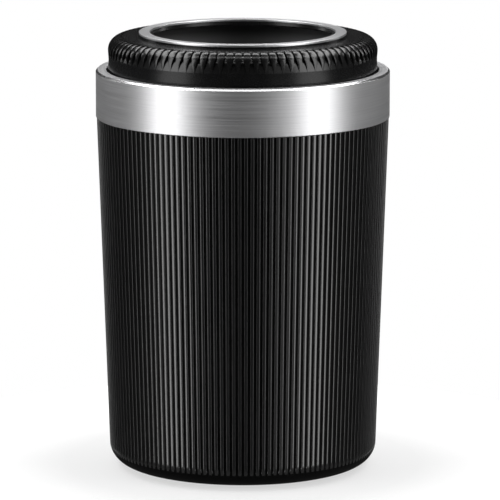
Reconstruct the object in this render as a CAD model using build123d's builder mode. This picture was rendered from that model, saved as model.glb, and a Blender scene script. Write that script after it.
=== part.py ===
from build123d import *
from math import atan2, cos, radians, sin, sqrt, tan
import os

# Ashtray for a car's cup holder: a ribbed cup with a metal trim band, a drop-in liner and a push-in lid.
# Millimetres, +Z up, origin at the centre of the pad's lower face, where the ashtray stands.
# The band sets the diameter, and the other radii are worked inwards from it.

# Driving dimensions: trim band
band_diameter = 74.0
band_height = 11.9
band_wall = 1.0
flange_thickness = 1.0
ledge_width = 2.7
band_chamfer = 0.6
band_press_gap = 0.05

# Driving dimensions: ribbed cup
body_height = 88.8
body_taper = 3.1  # radius lost from the band down to the foot
band_overhang = 0.2
foot_round = 6.0
cup_wall = 2.6
cup_floor = 3.5
rib_count = 144
rib_groove_depth = 0.45
rib_groove_width = 0.9
core_flats = 36  # flats around the inside, one for every four ribs

# Driving dimensions: base pad
pad_thickness = 0.5
pad_margin = 1.2

# Driving dimensions: liner
liner_wall = 0.6
liner_gap = 0.3
liner_seat_width = 1.3

# Driving dimensions: lid
lid_rise = 8.3  # from the band's ledge to the lid's flat top
lid_insertion = 5.6
lid_gap = 0.4
lid_wall = 3.5
lid_top_width = 7.8
lid_top_thickness = 0.6
boss_height = 0.6
shoulder_round = 3.3
pleat_count = 96
pleat_depth = 0.95
pleat_slot_width = 0.5  # between two pleats at the top of the shoulder
pleat_tip_gap = 2.0  # between the tips of two pleats, low on the shoulder
pleat_tilt = 38.0  # degrees that the pleats' middle faces up from the horizontal

# Driving dimensions: mouth ring
ring_width = 2.75
ring_thickness = 0.55

# Heights
foot_z = pad_thickness
floor_z = foot_z + cup_floor
band_low_z = foot_z + body_height
ledge_z = band_low_z + band_height
rim_z = ledge_z - flange_thickness
lid_foot_z = ledge_z - lid_insertion
liner_seat_z = lid_foot_z - liner_wall
liner_low_z = floor_z + liner_gap
lid_top_z = ledge_z + lid_rise
shoulder_z = lid_top_z - shoulder_round
boss_z = lid_top_z + boss_height

# Radii
band_radius = band_diameter / 2
bore_radius = band_radius - ledge_width
spigot_radius = band_radius - band_wall - band_press_gap
body_radius = band_radius - band_overhang
base_radius = body_radius - body_taper
cup_floor_radius = base_radius - cup_wall
liner_seat_radius = bore_radius - liner_seat_width
pad_radius = base_radius - foot_round - pad_margin
lid_radius = bore_radius - lid_gap
skirt_radius = lid_radius - lid_wall
ring_radius = lid_radius - lid_top_width
mouth_radius = ring_radius - ring_width

# The rounded foot is two flats between the wall and the underside, at one and two thirds of the turn
foot_turn = radians(15)
foot_corner = foot_round * tan(foot_turn)
foot_mid = foot_round * cos(radians(45)) / cos(foot_turn)
rib_low_z = foot_z + foot_round - foot_corner
foot_radius = base_radius + body_taper * (rib_low_z - foot_z) / body_height
foot_center_radius = foot_radius - foot_round
cup_levels = [
    (foot_z, foot_center_radius + foot_corner),
    (foot_z + foot_round - foot_mid, foot_center_radius + foot_mid),
    (rib_low_z, foot_radius),
    (band_low_z, body_radius),
]

# Groove between two ribs: a V that runs down the tapered wall and out through the rounded foot
body_tilt = atan2(body_taper, body_height)
wall_outward = (cos(body_tilt), 0, -sin(body_tilt))
wall_down = (-sin(body_tilt), 0, -cos(body_tilt))
rib_plane = Plane(origin=(body_radius, 0, band_low_z), x_dir=wall_outward, z_dir=wall_down)

with BuildPart() as rib_groove:
    with BuildSketch(rib_plane):
        with BuildLine():
            Polyline(
                (-rib_groove_depth, 0),
                (rib_groove_depth, rib_groove_width),
                (rib_groove_depth, -rib_groove_width),
                close=True,
            )
        make_face()
    extrude(amount=body_height)

# Cup: a tapered wall with one flat for each rib, a spigot for the band and a step for the liner
with BuildPart() as outer_cup:
    for height, radius in cup_levels:
        with BuildSketch(Plane.XY.offset(height)):
            RegularPolygon(radius, rib_count)
    loft(ruled=True)
    with BuildSketch(Plane.XY.offset(band_low_z)):
        Circle(spigot_radius)
    extrude(amount=rim_z - band_low_z)
    with BuildSketch(Plane.XY.offset(liner_seat_z)):
        Circle(bore_radius)
    extrude(amount=rim_z - liner_seat_z, mode=Mode.SUBTRACT)
    with BuildSketch(Plane.XY.offset(floor_z)):
        RegularPolygon(cup_floor_radius, core_flats)
    with BuildSketch(Plane.XY.offset(liner_seat_z)):
        RegularPolygon(liner_seat_radius, core_flats)
    loft(ruled=True, mode=Mode.SUBTRACT)
    with PolarLocations(0, rib_count):
        add(rib_groove.part, mode=Mode.SUBTRACT)

# Pad: a thin disc stuck under the flat of the foot
with BuildPart() as base_pad:
    with BuildSketch(Plane.XY):
        Circle(pad_radius)
    extrude(amount=pad_thickness)

# Band: an inverted L over the cup's spigot, with the ledge on top
with BuildPart() as trim_band:
    with BuildSketch(Plane.XZ):
        with BuildLine():
            Polyline(
                (band_radius - band_wall, band_low_z),
                (band_radius, band_low_z),
                (band_radius, ledge_z),
                (bore_radius, ledge_z),
                (bore_radius, rim_z),
                (band_radius - band_wall, rim_z),
                close=True,
            )
        make_face()
    revolve(axis=Axis.Z)
    ledge_edge = trim_band.faces().sort_by(Axis.Z)[-1].edges().sort_by(SortBy.RADIUS)[-1]
    chamfer(ledge_edge, band_chamfer)

# Liner: a thin tapered cup that hangs by its flange on the step in the outer cup
with BuildPart() as ash_liner:
    with BuildSketch(Plane.XY.offset(liner_low_z)):
        RegularPolygon(cup_floor_radius - liner_gap, core_flats)
    with BuildSketch(Plane.XY.offset(liner_seat_z)):
        RegularPolygon(liner_seat_radius - liner_gap, core_flats)
    loft(ruled=True)
    with BuildSketch(Plane.XY.offset(liner_seat_z)):
        Circle(bore_radius - liner_gap)
    extrude(amount=liner_wall)
    with BuildSketch(Plane.XY.offset(liner_low_z + liner_wall)):
        RegularPolygon(cup_floor_radius - liner_gap - liner_wall, core_flats)
    with BuildSketch(Plane.XY.offset(lid_foot_z)):
        RegularPolygon(liner_seat_radius - liner_gap - liner_wall, core_flats)
    loft(ruled=True, mode=Mode.SUBTRACT)

# Gap between two pleats: its flat floor is a chord of the rounded shoulder and widens downwards,
# so that each pleat is a tongue that tapers to a point on the wall
pleat_outward = (cos(radians(pleat_tilt)), 0, sin(radians(pleat_tilt)))
root_reach = shoulder_round - pleat_depth
pleat_root = (
    lid_radius - shoulder_round + root_reach * pleat_outward[0],
    0,
    shoulder_z + root_reach * pleat_outward[2],
)
pleat_reach = sqrt(shoulder_round**2 - root_reach**2)
pleat_overrun = 1.2  # the cut runs past both ends of the chord
gap_middle = (pleat_tip_gap + pleat_slot_width) / 2
gap_spread = (pleat_tip_gap - pleat_slot_width) / 2 * pleat_overrun

with BuildPart() as pleat_gap:
    with BuildSketch(Plane(origin=pleat_root, x_dir=(0, 1, 0), z_dir=pleat_outward)):
        with BuildLine():
            Polyline(
                (-(gap_middle - gap_spread) / 2, pleat_overrun * pleat_reach),
                ((gap_middle - gap_spread) / 2, pleat_overrun * pleat_reach),
                ((gap_middle + gap_spread) / 2, -pleat_overrun * pleat_reach),
                (-(gap_middle + gap_spread) / 2, -pleat_overrun * pleat_reach),
                close=True,
            )
        make_face()
    extrude(amount=shoulder_round)

# Lid: a hollow cap with one flat for each pleat and a raised boss around its open mouth
lid_levels = [(lid_foot_z, lid_radius), (shoulder_z, lid_radius)]
for turn in (30, 60, 90):
    height = shoulder_z + shoulder_round * sin(radians(turn))
    lid_levels.append((height, lid_radius - shoulder_round + shoulder_round * cos(radians(turn))))

with BuildPart() as lid_collar:
    for height, radius in lid_levels:
        with BuildSketch(Plane.XY.offset(height)):
            RegularPolygon(radius, pleat_count)
    loft(ruled=True)
    with BuildSketch(Plane.XY.offset(lid_top_z)):
        Circle(ring_radius)
    extrude(amount=boss_height)
    with BuildSketch(Plane.XZ):
        with BuildLine():
            Polyline(
                (0, lid_foot_z),
                (skirt_radius, lid_foot_z),
                (skirt_radius, lid_top_z - lid_top_thickness),
                (mouth_radius, lid_top_z - lid_top_thickness),
                (mouth_radius, boss_z),
                (0, boss_z),
                close=True,
            )
        make_face()
    revolve(axis=Axis.Z, mode=Mode.SUBTRACT)
    with PolarLocations(0, pleat_count):
        add(pleat_gap.part, mode=Mode.SUBTRACT)

# Mouth ring: a flat washer on the lid's boss
with BuildPart() as mouth_ring:
    with BuildSketch(Plane.XY.offset(boss_z)):
        Circle(ring_radius)
        Circle(mouth_radius, mode=Mode.SUBTRACT)
    extrude(amount=ring_thickness)

pieces = {
    "outer_cup": outer_cup,
    "base_pad": base_pad,
    "trim_band": trim_band,
    "ash_liner": ash_liner,
    "lid_collar": lid_collar,
    "mouth_ring": mouth_ring,
}

os.makedirs("parts", exist_ok=True)
for name, piece in pieces.items():
    piece.part.label = name
    export_step(piece.part, f"parts/{name}.step")
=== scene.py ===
import math

import bpy
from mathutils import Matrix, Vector


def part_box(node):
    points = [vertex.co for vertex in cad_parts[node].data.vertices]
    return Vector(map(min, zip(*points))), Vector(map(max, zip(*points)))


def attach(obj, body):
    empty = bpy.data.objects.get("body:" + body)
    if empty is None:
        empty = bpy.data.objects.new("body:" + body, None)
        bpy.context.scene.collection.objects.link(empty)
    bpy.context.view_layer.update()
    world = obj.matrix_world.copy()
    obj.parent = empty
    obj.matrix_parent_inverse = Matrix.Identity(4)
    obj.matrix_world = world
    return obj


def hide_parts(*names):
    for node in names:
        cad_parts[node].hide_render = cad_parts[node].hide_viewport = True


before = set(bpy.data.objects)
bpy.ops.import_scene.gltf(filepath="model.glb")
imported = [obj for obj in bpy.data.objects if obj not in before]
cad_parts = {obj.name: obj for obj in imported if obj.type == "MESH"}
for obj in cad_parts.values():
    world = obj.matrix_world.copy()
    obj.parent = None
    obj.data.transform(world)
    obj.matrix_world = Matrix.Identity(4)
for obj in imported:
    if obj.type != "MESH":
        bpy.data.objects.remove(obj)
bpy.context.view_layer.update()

# A car's cup-holder ashtray on a white table, lit by softboxes beside and above it in a grey studio.
# Lengths are metres and angles degrees. Round pieces are outlines turned about Z.

# Heights and radii read from the frame
pad_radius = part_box("base_pad")[1].x
foot_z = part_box("outer_cup")[0].z
rim_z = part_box("outer_cup")[1].z
band_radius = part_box("trim_band")[1].x
band_low_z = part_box("trim_band")[0].z
ledge_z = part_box("trim_band")[1].z
liner_low_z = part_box("ash_liner")[0].z
liner_top_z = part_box("ash_liner")[1].z
lid_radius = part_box("lid_collar")[1].x
lid_foot_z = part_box("lid_collar")[0].z
boss_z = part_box("lid_collar")[1].z
ring_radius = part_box("mouth_ring")[1].x
ring_top_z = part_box("mouth_ring")[1].z

# Cup
BODY_OVERHANG = 0.0002
BODY_TAPER = 0.0031
FOOT_ROUND = 0.0053
CUP_WALL = 0.0026
CUP_FLOOR = 0.0035
CUP_FLOOR_ROUND = 0.001
RIB_COUNT = 144

# Band
BAND_WALL = 0.001
BAND_PRESS_GAP = 0.00005
BAND_FOOT_ROUND = 0.00018
LEDGE_WIDTH = 0.0027
LEDGE_ROUND = 0.00015
BEVEL_WIDTH = 0.00045
BEVEL_DROP = 0.00045
BEVEL_ROUND = 0.00012

# Liner and pad
LINER_WALL = 0.0006
LINER_GAP = 0.0003
LINER_SEAT_WIDTH = 0.0013
LINER_FOOT_ROUND = 0.0015
LINER_FLOOR_ROUND = 0.001
LINER_LIP_ROUND = 0.0003
PAD_ROUND = 0.00012

# Lid and ring
LID_WALL = 0.0035
BOSS_HEIGHT = 0.0006
LID_TOP_THICKNESS = 0.0006
LID_INSIDE_ROUND = 0.0005
SHOULDER_ROUND = 0.0033
LID_WAIST = 0.00015
LIP_DRAFT = 0.00035
LIP_ROUND = 0.0003
SKIRT_ROUND = 0.0003
FOOT_NOTCH = 0.00025
FOOT_NOTCH_HEIGHT = 0.0004
FOOT_NOTCH_DROP = 0.0006
RING_WIDTH = 0.00275
RING_ROUND = 0.00014

# Pleats: the ramp and the spans are parts of the way from start to end, which are degrees of the shoulder
PLEAT_COUNT = 96
PLEAT_DEPTH = 0.001
PLEAT_SLOT = 0.00045
PLEAT_TIP_GAP = 0.002
PLEAT_FLARE = 0.0003
PLEAT_START = -28.0
PLEAT_END = 106.0
PLEAT_RAMP = 0.5
PLEAT_FLARE_SPAN = (0.62, 0.85)
PLEAT_FADE_SPAN = (0.78, 0.97)
PLEAT_EDGE = 0.00002
PLEAT_CROWN = 0.00006

# Roundings shared by several edges
FINE_ROUND = 0.00005
EDGE_ROUND = 0.0001
RIM_ROUND = 0.0002

# Margins that tell one surface from the next
TOUCH = 0.00001
WALL_MARGIN = 0.0001
BOSS_MARGIN = 0.0003
RIB_MARGIN = 0.0005
COLLAR_LOW = 0.002

# Meshes
AXIS_RADIUS = 1e-7
ARC_MARGIN = 0.00015
ARC_MARGIN_SHARE = 0.3
METAL_COLUMNS = 384
LINER_COLUMNS = 256
PAD_COLUMNS = 192
LID_CREASE = 40.0

body_radius = band_radius - BODY_OVERHANG
base_radius = body_radius - BODY_TAPER
bore_radius = band_radius - LEDGE_WIDTH
spigot_radius = band_radius - BAND_WALL - BAND_PRESS_GAP
cup_floor_radius = base_radius - CUP_WALL
cup_floor_z = foot_z + CUP_FLOOR
liner_seat_z = liner_top_z - LINER_WALL
liner_seat_radius = bore_radius - LINER_SEAT_WIDTH
skirt_radius = lid_radius - LID_WALL
mouth_radius = ring_radius - RING_WIDTH
lid_top_z = boss_z - BOSS_HEIGHT
lid_ceiling_z = lid_top_z - LID_TOP_THICKNESS
shoulder_z = lid_top_z - SHOULDER_ROUND
shoulder_radius = lid_radius - SHOULDER_ROUND


# Outlines and turned meshes

def rounded(corners):
    """Outline through (radius, height, rounding, steps) corners, with an arc in place of each corner.

    A corner with a rounding of 0 stays sharp and has no steps.
    """
    points = []
    for i, corner in enumerate(corners):
        here = Vector(corner[:2])
        if corner[2] == 0:
            points.append(here)
            continue
        rounding, steps = corner[2:]
        to_before = (Vector(corners[i - 1][:2]) - here).normalized()
        to_after = (Vector(corners[(i + 1) % len(corners)][:2]) - here).normalized()
        half = to_before.angle(to_after) / 2
        reach = rounding / math.tan(half)
        centre = here + (to_before + to_after).normalized() * rounding / math.sin(half)
        start = here + to_before * reach - centre
        turn = math.pi - 2 * half
        if to_before.x * to_after.y - to_before.y * to_after.x > 0:
            turn = -turn
        beside = min(ARC_MARGIN_SHARE * rounding, ARC_MARGIN)
        points.append(here + to_before * (reach + beside))
        for k in range(steps + 1):
            a = turn * k / steps
            points.append(centre + Vector((
                start.x * math.cos(a) - start.y * math.sin(a),
                start.x * math.sin(a) + start.y * math.cos(a),
            )))
        points.append(here + to_after * (reach + beside))
    return points


def stretch(ring, at, count):
    """The part of a ring that belongs to one of count equal shares of it, both ends included."""
    if len(ring) == 1:
        return ring
    share = len(ring) // count
    return [ring[k % len(ring)] for k in range(at * share, (at + 1) * share + 1)]


def turned(name, outline, columns, closed=True, shape=None, fine=None, step=1, crease=180.0):
    """Mesh of an outline turned about Z, sharp where faces meet at more than crease degrees.

    shape(radius, height, column) gives a point's cylinder coordinates, and only the rings that
    fine(radius, height) picks have all the columns; the others have every step-th one.
    """
    verts = []
    rings = []
    for radius, height in outline:
        if radius < AXIS_RADIUS:
            rings.append([len(verts)])
            verts.append((0.0, 0.0, height))
            continue
        picked = range(0, columns, step if fine and not fine(radius, height) else 1)
        rings.append(list(range(len(verts), len(verts) + len(picked))))
        for c in picked:
            if shape:
                r, z, angle = shape(radius, height, c)
            else:
                r, z, angle = radius, height, 2 * math.pi * c / columns
            verts.append((r * math.cos(angle), r * math.sin(angle), z))
    faces = []
    pairs = list(zip(rings, rings[1:]))
    if closed:
        pairs.append((rings[-1], rings[0]))
    for low, high in pairs:
        lengths = (len(low), len(high))
        count = max(lengths) if 1 in lengths else min(lengths)
        for at in range(count):
            faces.append((*stretch(low, at, count), *reversed(stretch(high, at, count))))
    mesh = bpy.data.meshes.new(name)
    mesh.from_pydata(verts, [], faces)
    mesh.update()
    for polygon in mesh.polygons:
        polygon.use_smooth = True
    mesh.set_sharp_from_angle(angle=math.radians(crease))
    piece = bpy.data.objects.new(name, mesh)
    bpy.context.scene.collection.objects.link(piece)
    return piece


def smoothstep(low, high, x):
    t = min(max((x - low) / (high - low), 0.0), 1.0)
    return t * t * (3 - 2 * t)


# Ribbed cup: crowned ribs with flat-floored grooves between them, which run out through the rounded foot

# Half a groove and half a rib: (distance from the groove's middle, depth below the rib's top)
HALF_RIB = (
    (0.0, 0.00045),
    (0.00018, 0.00045),
    (0.00024, 0.00042),
    (0.0004, 0.00008),
    (0.00043, 0.00004),
    (0.00045, 0.000027),
    (0.00052, 0.000014),
    (0.00061, 0.000005),
    (0.00072, 0.000001),
)


def rib_columns():
    """Angles of one rib's columns and how deep each lies, from groove to groove."""
    pitch = 2 * math.pi * body_radius / RIB_COUNT
    near = [*HALF_RIB, (pitch / 2, 0.0)]
    far = [(pitch - x, depth) for x, depth in reversed(HALF_RIB[1:])]
    return [(x / body_radius, depth) for x, depth in near + far]


rib_table = rib_columns()
rib_pitch = 2 * math.pi / RIB_COUNT
wall_slope = BODY_TAPER / (band_low_z - foot_z)


def wall_radius(height):
    """Radius of the ribs' tops on the tapered wall."""
    return body_radius - wall_slope * (band_low_z - height)


def ribbed(radius, height, column):
    rib, station = divmod(column, len(rib_table))
    angle, depth = rib_table[station]
    if radius > cup_floor_radius + RIB_MARGIN and height < band_low_z - TOUCH:
        radius = min(radius, wall_radius(height) - depth)
    return radius, height, rib * rib_pitch + angle


def on_ribs(radius, height):
    """Whether a ring lies on the cup's outside, between the flat of the foot and the band."""
    inward = FOOT_ROUND + WALL_MARGIN if height < cup_floor_z else RIB_MARGIN
    return height < band_low_z + TOUCH and radius > base_radius - inward


cup_outline = rounded([
    (0, foot_z, 0),
    (base_radius, foot_z, FOOT_ROUND, 18),
    (body_radius, band_low_z, EDGE_ROUND, 3),
    (spigot_radius, band_low_z, EDGE_ROUND, 3),
    (spigot_radius, rim_z, RIM_ROUND, 4),
    (bore_radius, rim_z, RIM_ROUND, 4),
    (bore_radius, liner_seat_z, EDGE_ROUND, 3),
    (liner_seat_radius, liner_seat_z, EDGE_ROUND, 3),
    (cup_floor_radius, cup_floor_z, CUP_FLOOR_ROUND, 5),
    (0, cup_floor_z, 0),
])
cup = turned(
    "cup_shell", cup_outline, RIB_COUNT * len(rib_table),
    closed=False, shape=ribbed, fine=on_ribs, step=len(rib_table) // 2,
)


# Pleated lid: the gap between two pleats sinks and narrows upwards, then flares and fades out on the flat top

# Columns of half a pleat: (part of the gap, edge widths, part of the pleat), gap first
HALF_PLEAT = (
    (0.0, 0, 0.0),
    (0.6, 0, 0.0),
    (1.0, 0, 0.0),
    (1.0, 2, 0.0),
    (1.0, 2, 0.2),
    (1.0, 2, 0.55),
    (1.0, 2, 1.0),
)
pleat_columns = 2 * (len(HALF_PLEAT) - 1)
pleat_pitch = 2 * math.pi / PLEAT_COUNT


def shoulder_turn(radius, height):
    """Degrees around the rounded shoulder, from 0 at the wall to 90 at the flat top, and on past both."""
    inward = radius - shoulder_radius
    upward = height - shoulder_z
    if upward < 0:
        return math.degrees(upward / SHOULDER_ROUND)
    if inward < 0:
        return 90 - math.degrees(inward / SHOULDER_ROUND)
    return math.degrees(math.atan2(upward, inward))


def pleated(radius, height, column):
    pleat, station = divmod(column, pleat_columns)
    mirrored = station > len(HALF_PLEAT) - 1
    in_gap, edges, in_pleat = HALF_PLEAT[pleat_columns - station if mirrored else station]
    above = height > lid_top_z - TOUCH and radius > ring_radius + BOSS_MARGIN
    outer = above or (radius > skirt_radius + WALL_MARGIN and height > ledge_z - COLLAR_LOW)
    turn = shoulder_turn(radius, height) if outer else 0.0
    along = min(max((turn - PLEAT_START) / (PLEAT_END - PLEAT_START), 0.0), 1.0)
    ramp = min(along / PLEAT_RAMP, 1.0)
    gap_half = (PLEAT_SLOT + (PLEAT_TIP_GAP - PLEAT_SLOT) * (1 - ramp)) / 2
    gap_half += PLEAT_FLARE / 2 * smoothstep(*PLEAT_FLARE_SPAN, along)
    pitch_half = math.pi * radius / PLEAT_COUNT
    gap_half = min(gap_half, pitch_half - 2 * PLEAT_EDGE)
    x = in_gap * (gap_half - PLEAT_EDGE) + edges * PLEAT_EDGE
    x += in_pleat * (pitch_half - gap_half - PLEAT_EDGE)
    angle = x / radius
    if outer:
        swell = ramp * (1 - smoothstep(*PLEAT_FADE_SPAN, along))
        sunk = PLEAT_DEPTH * (1 - edges / 2) + PLEAT_CROWN * (1 - in_pleat) ** 2 * edges / 2
        clamped = math.radians(min(max(turn, 0.0), 90.0))
        t = (height - ledge_z) / (shoulder_z - ledge_z)
        if 0 < t < 1 and radius > lid_radius - WALL_MARGIN:
            radius -= LID_WAIST * math.sin(math.pi * t) ** 2
        radius -= sunk * swell * math.cos(clamped)
        height -= sunk * swell * math.sin(clamped)
    if mirrored:
        angle = pleat_pitch - angle
    return radius, height, pleat * pleat_pitch + angle


# Rings on the waisted wall, under the shoulder and on the flat top, and how far the fine ones reach
WAIST_SHARES = (1 / 8, 2 / 8, 3 / 8, 4 / 8)
SHOULDER_DROPS = (0.0019, 0.0016, 0.0012, 0.0008, 0.0004)
TOP_STEPS = (0.0003, 0.0006, 0.00095, 0.0013)
FINE_WALL_REACH = 0.00195
FINE_TOP_REACH = 0.001


def on_pleats(radius, height):
    """Whether a ring lies on the shoulder or beside it, where the pleats are."""
    above = radius > shoulder_radius - FINE_TOP_REACH and height > lid_top_z - TOUCH
    return above or (radius > skirt_radius + WALL_MARGIN and height > shoulder_z - FINE_WALL_REACH)


lid_outline = rounded([
    (lid_radius, lid_foot_z, SKIRT_ROUND, 4),
    (lid_radius, ledge_z - FOOT_NOTCH_DROP, EDGE_ROUND, 3),
    (lid_radius - FOOT_NOTCH, ledge_z - FOOT_NOTCH_DROP, FINE_ROUND, 2),
    (lid_radius - FOOT_NOTCH, ledge_z + FOOT_NOTCH_HEIGHT, FINE_ROUND, 2),
    (lid_radius, ledge_z + FOOT_NOTCH_HEIGHT, EDGE_ROUND, 3),
    *[(lid_radius, ledge_z + (shoulder_z - ledge_z) * share, 0) for share in WAIST_SHARES],
    *[(lid_radius, shoulder_z - drop, 0) for drop in SHOULDER_DROPS],
    (lid_radius, lid_top_z, SHOULDER_ROUND, 30),
    *[(shoulder_radius - inward, lid_top_z, 0) for inward in TOP_STEPS],
    (ring_radius, lid_top_z, EDGE_ROUND, 3),
    (ring_radius, boss_z, EDGE_ROUND, 3),
    (mouth_radius, boss_z, EDGE_ROUND, 3),
    (mouth_radius - LIP_DRAFT, lid_ceiling_z, LIP_ROUND, 4),
    (skirt_radius, lid_ceiling_z, LID_INSIDE_ROUND, 5),
    (skirt_radius, lid_foot_z, SKIRT_ROUND, 4),
])
lid = turned(
    "lid_shell", lid_outline, PLEAT_COUNT * pleat_columns,
    shape=pleated, fine=on_pleats, step=pleat_columns // 2, crease=LID_CREASE,
)


# Plain round pieces

band = turned("brushed_band", rounded([
    (band_radius - BAND_WALL, band_low_z, EDGE_ROUND, 3),
    (band_radius, band_low_z, BAND_FOOT_ROUND, 5),
    (band_radius, ledge_z - BEVEL_DROP, BEVEL_ROUND, 6),
    (band_radius - BEVEL_WIDTH, ledge_z, BEVEL_ROUND, 5),
    (bore_radius, ledge_z, LEDGE_ROUND, 5),
    (bore_radius, rim_z, EDGE_ROUND, 3),
    (band_radius - BAND_WALL, rim_z, EDGE_ROUND, 3),
]), METAL_COLUMNS)

ring = turned("satin_ring", rounded([
    (mouth_radius, boss_z, FINE_ROUND, 2),
    (ring_radius, boss_z, FINE_ROUND, 2),
    (ring_radius, ring_top_z, RING_ROUND, 6),
    (mouth_radius, ring_top_z, RING_ROUND, 6),
]), METAL_COLUMNS)

liner = turned("liner_cup", rounded([
    (0, liner_low_z, 0),
    (cup_floor_radius - LINER_GAP, liner_low_z, LINER_FOOT_ROUND, 6),
    (liner_seat_radius - LINER_GAP, liner_seat_z, EDGE_ROUND, 3),
    (bore_radius - LINER_GAP, liner_seat_z, EDGE_ROUND, 3),
    (bore_radius - LINER_GAP, liner_top_z, RIM_ROUND, 4),
    (liner_seat_radius - LINER_GAP - LINER_WALL, liner_top_z, LINER_LIP_ROUND, 5),
    (cup_floor_radius - LINER_GAP - LINER_WALL, liner_low_z + LINER_WALL, LINER_FLOOR_ROUND, 6),
    (0, liner_low_z + LINER_WALL, 0),
]), LINER_COLUMNS, closed=False)

pad = turned("grip_pad", rounded([
    (0, 0, 0),
    (pad_radius, 0, PAD_ROUND, 4),
    (pad_radius, foot_z, PAD_ROUND, 4),
    (0, foot_z, 0),
]), PAD_COLUMNS, closed=False)


# Materials

# Noise is used from its low to its high value, and a scale of 1 is one feature a metre
NOISE_LOW = 0.3
NOISE_HIGH = 0.7
BRUSH_ALONG = 40
BRUSH_ACROSS = 7000
BRUSH_TURN = 0.25
SPECK_SCALE = 5200
CLOUD_SCALE = 160
CLOUD_DARK = 0.75
CLOUD_LIGHT = 1.35
METAL_SPREAD = 0.05
PLASTIC_SPREAD = 0.04

# The lid's inside is painted with shade under its top and light further down: its colour gets lighter between
# two depths below its top
PAINTED_SHADE_DEPTH = 0.001
PAINTED_LIGHT_DEPTH = 0.007
INSIDE_PAINTED_SHADE = (0.09, 0.09, 0.091)
INSIDE_PAINTED_LIGHT = (0.3, 0.3, 0.303)


def material(name, color, roughness, metallic=0.0, specular=0.5):
    made = bpy.data.materials.new(name)
    made.use_nodes = True
    shader = made.node_tree.nodes["Principled BSDF"]
    shader.inputs["Base Color"].default_value = (*color, 1)
    shader.inputs["Roughness"].default_value = roughness
    shader.inputs["Metallic"].default_value = metallic
    shader.inputs["Specular IOR Level"].default_value = specular
    return made


def tree_of(made):
    nodes = made.node_tree.nodes
    return nodes, made.node_tree.links, nodes["Principled BSDF"]


def noise(nodes, links, vector, scale, detail=2.0):
    made = nodes.new("ShaderNodeTexNoise")
    made.inputs["Scale"].default_value = scale
    made.inputs["Detail"].default_value = detail
    links.new(vector, made.inputs["Vector"])
    return made.outputs["Fac"]


def spread(nodes, links, value, low, high):
    made = nodes.new("ShaderNodeMapRange")
    made.inputs["From Min"].default_value = NOISE_LOW
    made.inputs["From Max"].default_value = NOISE_HIGH
    made.inputs["To Min"].default_value = low
    made.inputs["To Max"].default_value = high
    links.new(value, made.inputs["Value"])
    return made.outputs["Result"]


def tint(nodes, links, value, dark, light):
    made = nodes.new("ShaderNodeValToRGB")
    made.color_ramp.elements[0].position = NOISE_LOW
    made.color_ramp.elements[0].color = (*dark, 1)
    made.color_ramp.elements[1].position = NOISE_HIGH
    made.color_ramp.elements[1].color = (*light, 1)
    links.new(value, made.inputs["Fac"])
    return made.outputs["Color"]


def bump(nodes, links, value, distance, below=None):
    made = nodes.new("ShaderNodeBump")
    made.inputs["Distance"].default_value = distance
    made.inputs["Strength"].default_value = 1.0
    links.new(value, made.inputs["Height"])
    if below:
        links.new(below, made.inputs["Normal"])
    return made.outputs["Normal"]


def place(nodes):
    return nodes.new("ShaderNodeTexCoord").outputs["Object"]


def brush_place(nodes, links, along, across):
    """Coordinates that vary slowly around Z and fast across it, on walls and on flat rings alike."""
    split = nodes.new("ShaderNodeSeparateXYZ")
    links.new(place(nodes), split.inputs["Vector"])
    flat = nodes.new("ShaderNodeCombineXYZ")
    links.new(split.outputs["X"], flat.inputs["X"])
    links.new(split.outputs["Y"], flat.inputs["Y"])
    radius = nodes.new("ShaderNodeVectorMath")
    radius.operation = "LENGTH"
    links.new(flat.outputs["Vector"], radius.inputs[0])
    total = nodes.new("ShaderNodeMath")
    total.operation = "ADD"
    links.new(radius.outputs["Value"], total.inputs[0])
    links.new(split.outputs["Z"], total.inputs[1])
    joined = nodes.new("ShaderNodeCombineXYZ")
    links.new(split.outputs["X"], joined.inputs["X"])
    links.new(split.outputs["Y"], joined.inputs["Y"])
    links.new(total.outputs["Value"], joined.inputs["Z"])
    scaled = nodes.new("ShaderNodeVectorMath")
    scaled.operation = "MULTIPLY"
    scaled.inputs[1].default_value = (along, along, across)
    links.new(joined.outputs["Vector"], scaled.inputs[0])
    return scaled.outputs["Vector"]


def brushed_metal(name, dark, light, roughness, anisotropy, grain, stroke):
    made = material(name, light, roughness, metallic=1.0)
    nodes, links, shader = tree_of(made)
    lines = noise(nodes, links, brush_place(nodes, links, BRUSH_ALONG, BRUSH_ACROSS), 1.0, detail=3.0)
    specks = noise(nodes, links, place(nodes), SPECK_SCALE)
    rough = spread(nodes, links, lines, roughness - METAL_SPREAD, roughness + METAL_SPREAD)
    links.new(tint(nodes, links, lines, dark, light), shader.inputs["Base Color"])
    links.new(rough, shader.inputs["Roughness"])
    shader.inputs["Anisotropic"].default_value = anisotropy
    shader.inputs["Anisotropic Rotation"].default_value = BRUSH_TURN
    around = nodes.new("ShaderNodeTangent")
    around.direction_type = "RADIAL"
    around.axis = "Z"
    links.new(around.outputs["Tangent"], shader.inputs["Tangent"])
    fine = bump(nodes, links, specks, grain)
    links.new(bump(nodes, links, lines, stroke, fine), shader.inputs["Normal"])
    return made


def grained_plastic(name, color, roughness, specular, grain, size):
    made = material(name, color, roughness, specular=specular)
    nodes, links, shader = tree_of(made)
    grains = noise(nodes, links, place(nodes), 1 / size, detail=3.0)
    clouds = noise(nodes, links, place(nodes), CLOUD_SCALE)
    dark = [c * CLOUD_DARK for c in color]
    light = [c * CLOUD_LIGHT for c in color]
    rough = spread(nodes, links, grains, roughness - PLASTIC_SPREAD, roughness + PLASTIC_SPREAD)
    links.new(tint(nodes, links, clouds, dark, light), shader.inputs["Base Color"])
    links.new(rough, shader.inputs["Roughness"])
    links.new(bump(nodes, links, grains, grain), shader.inputs["Normal"])
    return made


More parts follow.
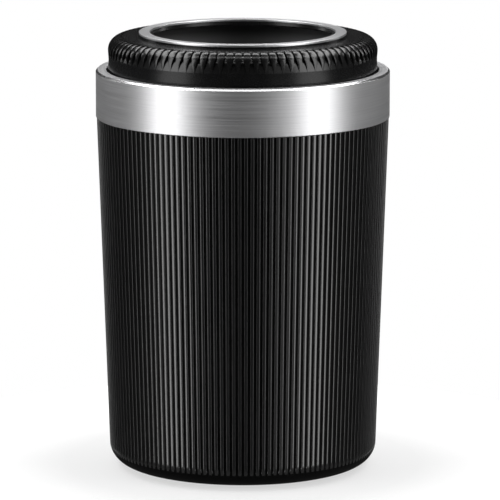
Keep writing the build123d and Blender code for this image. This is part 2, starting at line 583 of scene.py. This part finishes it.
cup_plastic = grained_plastic(
    "ribbed_black", color=(0.003, 0.003, 0.0031),
    roughness=0.17, specular=1.0, grain=0.000001, size=0.0003,
)
lid_plastic = grained_plastic(
    "satin_black", color=(0.005, 0.005, 0.0052),
    roughness=0.26, specular=0.25, grain=0.000004, size=0.00025,
)
pleat_plastic = grained_plastic(
    "pleat_black", color=(0.004, 0.004, 0.0041),
    roughness=0.24, specular=0.6, grain=0.000007, size=0.0004,
)
# Painted light and shade: the lid's inside is a lighter grey copy of the black plastic, darker under the top
# and lighter further down
inside_painted_light = grained_plastic(
    "painted_light_inside_grey", color=(0.2, 0.2, 0.202),
    roughness=0.5, specular=0.3, grain=0.000004, size=0.0004,
)
# Painted shade: a darker, duller copy of the black plastic for the ribs' groove floors, the foot and the
# pleats' side walls
groove_painted_shade = grained_plastic(
    "painted_shade_black", color=(0.002, 0.002, 0.002),
    roughness=0.6, specular=0.1, grain=0.000001, size=0.0003,
)
pad_rubber = grained_plastic(
    "black_rubber", color=(0.02, 0.02, 0.02),
    roughness=0.8, specular=0.3, grain=0.00003, size=0.0004,
)
liner_metal = grained_plastic(
    "coated_steel", color=(0.03, 0.03, 0.03),
    roughness=0.5, specular=0.5, grain=0.00001, size=0.0006,
)
band_metal = brushed_metal(
    "brushed_aluminium", dark=(0.69, 0.69, 0.70), light=(0.81, 0.81, 0.82),
    roughness=0.45, anisotropy=0.25, grain=0.000004, stroke=0.000003,
)
polished_edge = brushed_metal(
    "polished_edge", dark=(0.80, 0.80, 0.81), light=(0.84, 0.84, 0.85),
    roughness=0.24, anisotropy=0.0, grain=0.000002, stroke=0.0000005,
)
ring_metal = brushed_metal(
    "satin_aluminium", dark=(0.75, 0.75, 0.76), light=(0.81, 0.81, 0.82),
    roughness=0.39, anisotropy=0.3, grain=0.000012, stroke=0.0000007,
)

# The inside's colour follows its depth in place of the clouds, as painted shade under the top and painted
# light further down
nodes, links, shader = tree_of(inside_painted_light)
split = nodes.new("ShaderNodeSeparateXYZ")
links.new(place(nodes), split.inputs["Vector"])
deeper = nodes.new("ShaderNodeMapRange")
deeper.inputs["From Min"].default_value = lid_top_z - PAINTED_SHADE_DEPTH
deeper.inputs["From Max"].default_value = lid_top_z - PAINTED_LIGHT_DEPTH
links.new(split.outputs["Z"], deeper.inputs["Value"])
shade = tint(nodes, links, deeper.outputs["Result"], INSIDE_PAINTED_SHADE, INSIDE_PAINTED_LIGHT)
links.new(shade, shader.inputs["Base Color"])

for piece, made, node, body, slot in (
    (cup, cup_plastic, "outer_cup", "cup", "cup_plastic"),
    (pad, pad_rubber, "base_pad", "cup", "pad_rubber"),
    (band, band_metal, "trim_band", "cup", "band_metal"),
    (liner, liner_metal, "ash_liner", "cup", "liner_metal"),
    (lid, lid_plastic, "lid_collar", "lid", "lid_plastic"),
    (ring, ring_metal, "mouth_ring", "lid", "ring_metal"),
):
    piece.data.materials.append(made)
    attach(piece, body)
    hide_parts(node)


# Further materials: painted shade as a darker, matte black on the groove floors, the foot and the pleats'
# side walls, a polished bevel, and the lid's pleats and its inside with painted light and shade

GROOVE_SHALLOW = 0.0003
GROOVE_DEEP = 0.0006
PAINTED_SHADE_FOOT = 0.0034
BEVEL_STEEPEST = 0.2
BEVEL_FLATTEST = 0.99
PLEAT_SIDE_TURN = 0.5
PLEAT_LOW_EDGE = 0.0016
PLEAT_TOP_EDGE = 0.0003
PLEAT_TOP_SINK = 0.0011
INSIDE_MARGIN = 0.0004

# The groove floors and the foot get the painted shade
cup.data.materials.append(groove_painted_shade)
for polygon in cup.data.polygons:
    radius = polygon.center.to_2d().length
    height = polygon.center.z
    wall = wall_radius(height)
    in_groove = wall - GROOVE_DEEP < radius < wall - GROOVE_SHALLOW and height < band_low_z - TOUCH
    if in_groove or height < foot_z + PAINTED_SHADE_FOOT:
        polygon.material_index = 1

band.data.materials.append(polished_edge)
for polygon in band.data.polygons:
    at_rim = polygon.center.to_2d().length > band_radius - BEVEL_WIDTH
    if at_rim and BEVEL_STEEPEST < polygon.normal.z < BEVEL_FLATTEST:
        polygon.material_index = 1

lid.data.materials.append(pleat_plastic)
lid.data.materials.append(inside_painted_light)
lid.data.materials.append(groove_painted_shade)
for polygon in lid.data.polygons:
    radius = polygon.center.to_2d().length
    height = polygon.center.z
    outside = radius > skirt_radius + WALL_MARGIN or height > lid_top_z - PLEAT_TOP_SINK
    if outside and radius > shoulder_radius - PLEAT_TOP_EDGE and height > shoulder_z - PLEAT_LOW_EDGE:
        # The pleats' side walls get the painted shade, their other faces the pleat plastic
        sideways = polygon.center.to_2d().normalized().cross(polygon.normal.to_2d())
        polygon.material_index = 3 if abs(sideways) > PLEAT_SIDE_TURN else 1
    # The lid's inside gets the painted light and shade
    elif radius < skirt_radius + INSIDE_MARGIN and height < lid_ceiling_z + WALL_MARGIN:
        polygon.material_index = 2


# Studio: a floor that stays out of reflections and carries a painted shadow near the ashtray, a grey
# surround, a black card behind and a white background

FLOOR_RADIUS = 0.1
FLOOR_DROP = 0.0001
FLOOR_SIDES = 72
LIFT_NEAR = 0.045
LIFT_FAR = 0.075
PAINTED_SHADOW_LIFT = 0.6
LIFT_HIGH = 0.8
ROOM_RADIUS = 2.2
ROOM_LOW = -0.4
ROOM_HIGH = 2.4
ROOM_SIDES = 32
FLAG_HALF_WIDTH = 0.8
FLAG_BACK = 0.9
FLAG_LOW = 0.08
FLAG_HIGH = 0.55


def seen_directly(nodes, links):
    """1 for camera, glossy and transmission rays, 0 for the rays that light the object."""
    path = nodes.new("ShaderNodeLightPath")
    first = nodes.new("ShaderNodeMath")
    first.operation = "MAXIMUM"
    links.new(path.outputs["Is Camera Ray"], first.inputs[0])
    links.new(path.outputs["Is Glossy Ray"], first.inputs[1])
    both = nodes.new("ShaderNodeMath")
    both.operation = "MAXIMUM"
    links.new(first.outputs["Value"], both.inputs[0])
    links.new(path.outputs["Is Transmission Ray"], both.inputs[1])
    return both.outputs["Value"]


def circle(radius, height, sides):
    turns = [2 * math.pi * k / sides for k in range(sides)]
    return [(radius * math.cos(a), radius * math.sin(a), height) for a in turns]


def card(name, verts, faces, made):
    mesh = bpy.data.meshes.new(name)
    mesh.from_pydata(verts, [], faces)
    mesh.materials.append(made)
    made_card = bpy.data.objects.new(name, mesh)
    bpy.context.scene.collection.objects.link(made_card)
    return made_card


floor_white = material("floor_white", (0.35, 0.35, 0.35), 0.9, specular=0.0)
nodes, links, shader = tree_of(floor_white)
shader.inputs["Emission Color"].default_value = (1, 1, 1, 1)
from_centre = nodes.new("ShaderNodeVectorMath")
from_centre.operation = "LENGTH"
links.new(place(nodes), from_centre.inputs[0])
# Painted shadow: the floor's lift for camera rays is weaker near the ashtray and grows from near to far
floor_lift_painted_shadow = nodes.new("ShaderNodeMapRange")
floor_lift_painted_shadow.inputs["From Min"].default_value = LIFT_NEAR
floor_lift_painted_shadow.inputs["From Max"].default_value = LIFT_FAR
floor_lift_painted_shadow.inputs["To Min"].default_value = PAINTED_SHADOW_LIFT
floor_lift_painted_shadow.inputs["To Max"].default_value = LIFT_HIGH
links.new(from_centre.outputs["Value"], floor_lift_painted_shadow.inputs["Value"])
lift_seen = nodes.new("ShaderNodeMath")
lift_seen.operation = "MULTIPLY"
links.new(floor_lift_painted_shadow.outputs["Result"], lift_seen.inputs[0])
links.new(seen_directly(nodes, links), lift_seen.inputs[1])
links.new(lift_seen.outputs["Value"], shader.inputs["Emission Strength"])
floor_edge = circle(FLOOR_RADIUS, -FLOOR_DROP, FLOOR_SIDES)
floor = card("floor", floor_edge, [tuple(range(FLOOR_SIDES))], floor_white)
floor.visible_glossy = False

room_grey = material("room_grey", (0.2, 0.2, 0.2), 1.0, specular=0.0)
room_edges = circle(ROOM_RADIUS, ROOM_LOW, ROOM_SIDES) + circle(ROOM_RADIUS, ROOM_HIGH, ROOM_SIDES)
room_faces = []
for k in range(ROOM_SIDES):
    beyond = (k + 1) % ROOM_SIDES
    room_faces.append((k, beyond, ROOM_SIDES + beyond, ROOM_SIDES + k))
room_faces += [tuple(range(ROOM_SIDES)), tuple(range(ROOM_SIDES, 2 * ROOM_SIDES))]
room = card("grey_surround", room_edges, room_faces, room_grey)

flag_black = material("flag_black", (0.02, 0.02, 0.02), 1.0, specular=0.0)
flag_corners = [
    (-FLAG_HALF_WIDTH, FLAG_BACK, FLAG_LOW),
    (FLAG_HALF_WIDTH, FLAG_BACK, FLAG_LOW),
    (FLAG_HALF_WIDTH, FLAG_BACK, FLAG_HIGH),
    (-FLAG_HALF_WIDTH, FLAG_BACK, FLAG_HIGH),
]
flag = card("back_flag", flag_corners, [(0, 1, 2, 3)], flag_black)

for unseen in (room, flag):
    unseen.visible_camera = False
    unseen.visible_shadow = False

world = bpy.data.worlds.new("white_background")
bpy.context.scene.world = world
world.use_nodes = True
nodes = world.node_tree.nodes
links = world.node_tree.links
backdrop = nodes["Background"]
backdrop.inputs["Color"].default_value = (1, 1, 1, 1)
links.new(seen_directly(nodes, links), backdrop.inputs["Strength"])


# Lamps: three pairs beside the ashtray, one above and behind, one overhead and a weak fill

AIM_HEIGHT = 0.07


def softbox(name, azimuth, elevation, distance, width, height, radiance):
    """Rectangular lamp facing the ashtray; azimuth counts from the camera's side, positive to the right."""
    aim = Vector((0, 0, AIM_HEIGHT))
    a = math.radians(azimuth)
    e = math.radians(elevation)
    away = Vector((math.sin(a) * math.cos(e), -math.cos(a) * math.cos(e), math.sin(e)))
    lamp = bpy.data.lights.new(name, "AREA")
    lamp.shape = "RECTANGLE"
    lamp.size = width
    lamp.size_y = height
    lamp.energy = radiance * math.pi * width * height
    made = bpy.data.objects.new(name, lamp)
    made.location = aim + away * distance
    made.rotation_euler = away.to_track_quat("Z", "Y").to_euler()
    made.visible_camera = False
    bpy.context.scene.collection.objects.link(made)


for name, azimuth, elevation, distance, width, height, radiance in (
    ("key", 60, 12, 1.0, 0.5, 1.4, 2.9),
    ("edge", 121, 18, 1.2, 0.15, 0.6, 3.8),
    ("upper", 105, 55, 1.0, 0.75, 0.4, 4.5),
):
    softbox(f"{name}_left", -azimuth, elevation, distance, width, height, radiance)
    softbox(f"{name}_right", azimuth, elevation, distance, width, height, radiance)
softbox("top", 180, 50, 1.0, 1.0, 0.35, 3.5)
softbox("overhead", 0, 82, 1.0, 1.3, 0.16, 2.4)
softbox("fill_right", 30, 5, 1.2, 0.3, 1.2, 0.35)


# Camera

CAMERA_BACK = 1.128
CAMERA_HEIGHT = 0.2614
CAMERA_PITCH = 10.38
CAMERA_SENSOR = 36
CAMERA_LENS = 325.8
CAMERA_SHIFT = 0.0144
camera = bpy.data.cameras.new("photo_camera")
camera.sensor_width = CAMERA_SENSOR
camera.lens = CAMERA_LENS
camera.shift_x = CAMERA_SHIFT
camera_object = bpy.data.objects.new("photo_camera", camera)
camera_object.location = (0, -CAMERA_BACK, CAMERA_HEIGHT)
camera_object.rotation_euler = (math.radians(90 - CAMERA_PITCH), 0, 0)
bpy.context.scene.collection.objects.link(camera_object)
bpy.context.scene.camera = camera_object
bpy.context.scene.view_settings.view_transform = "Standard"
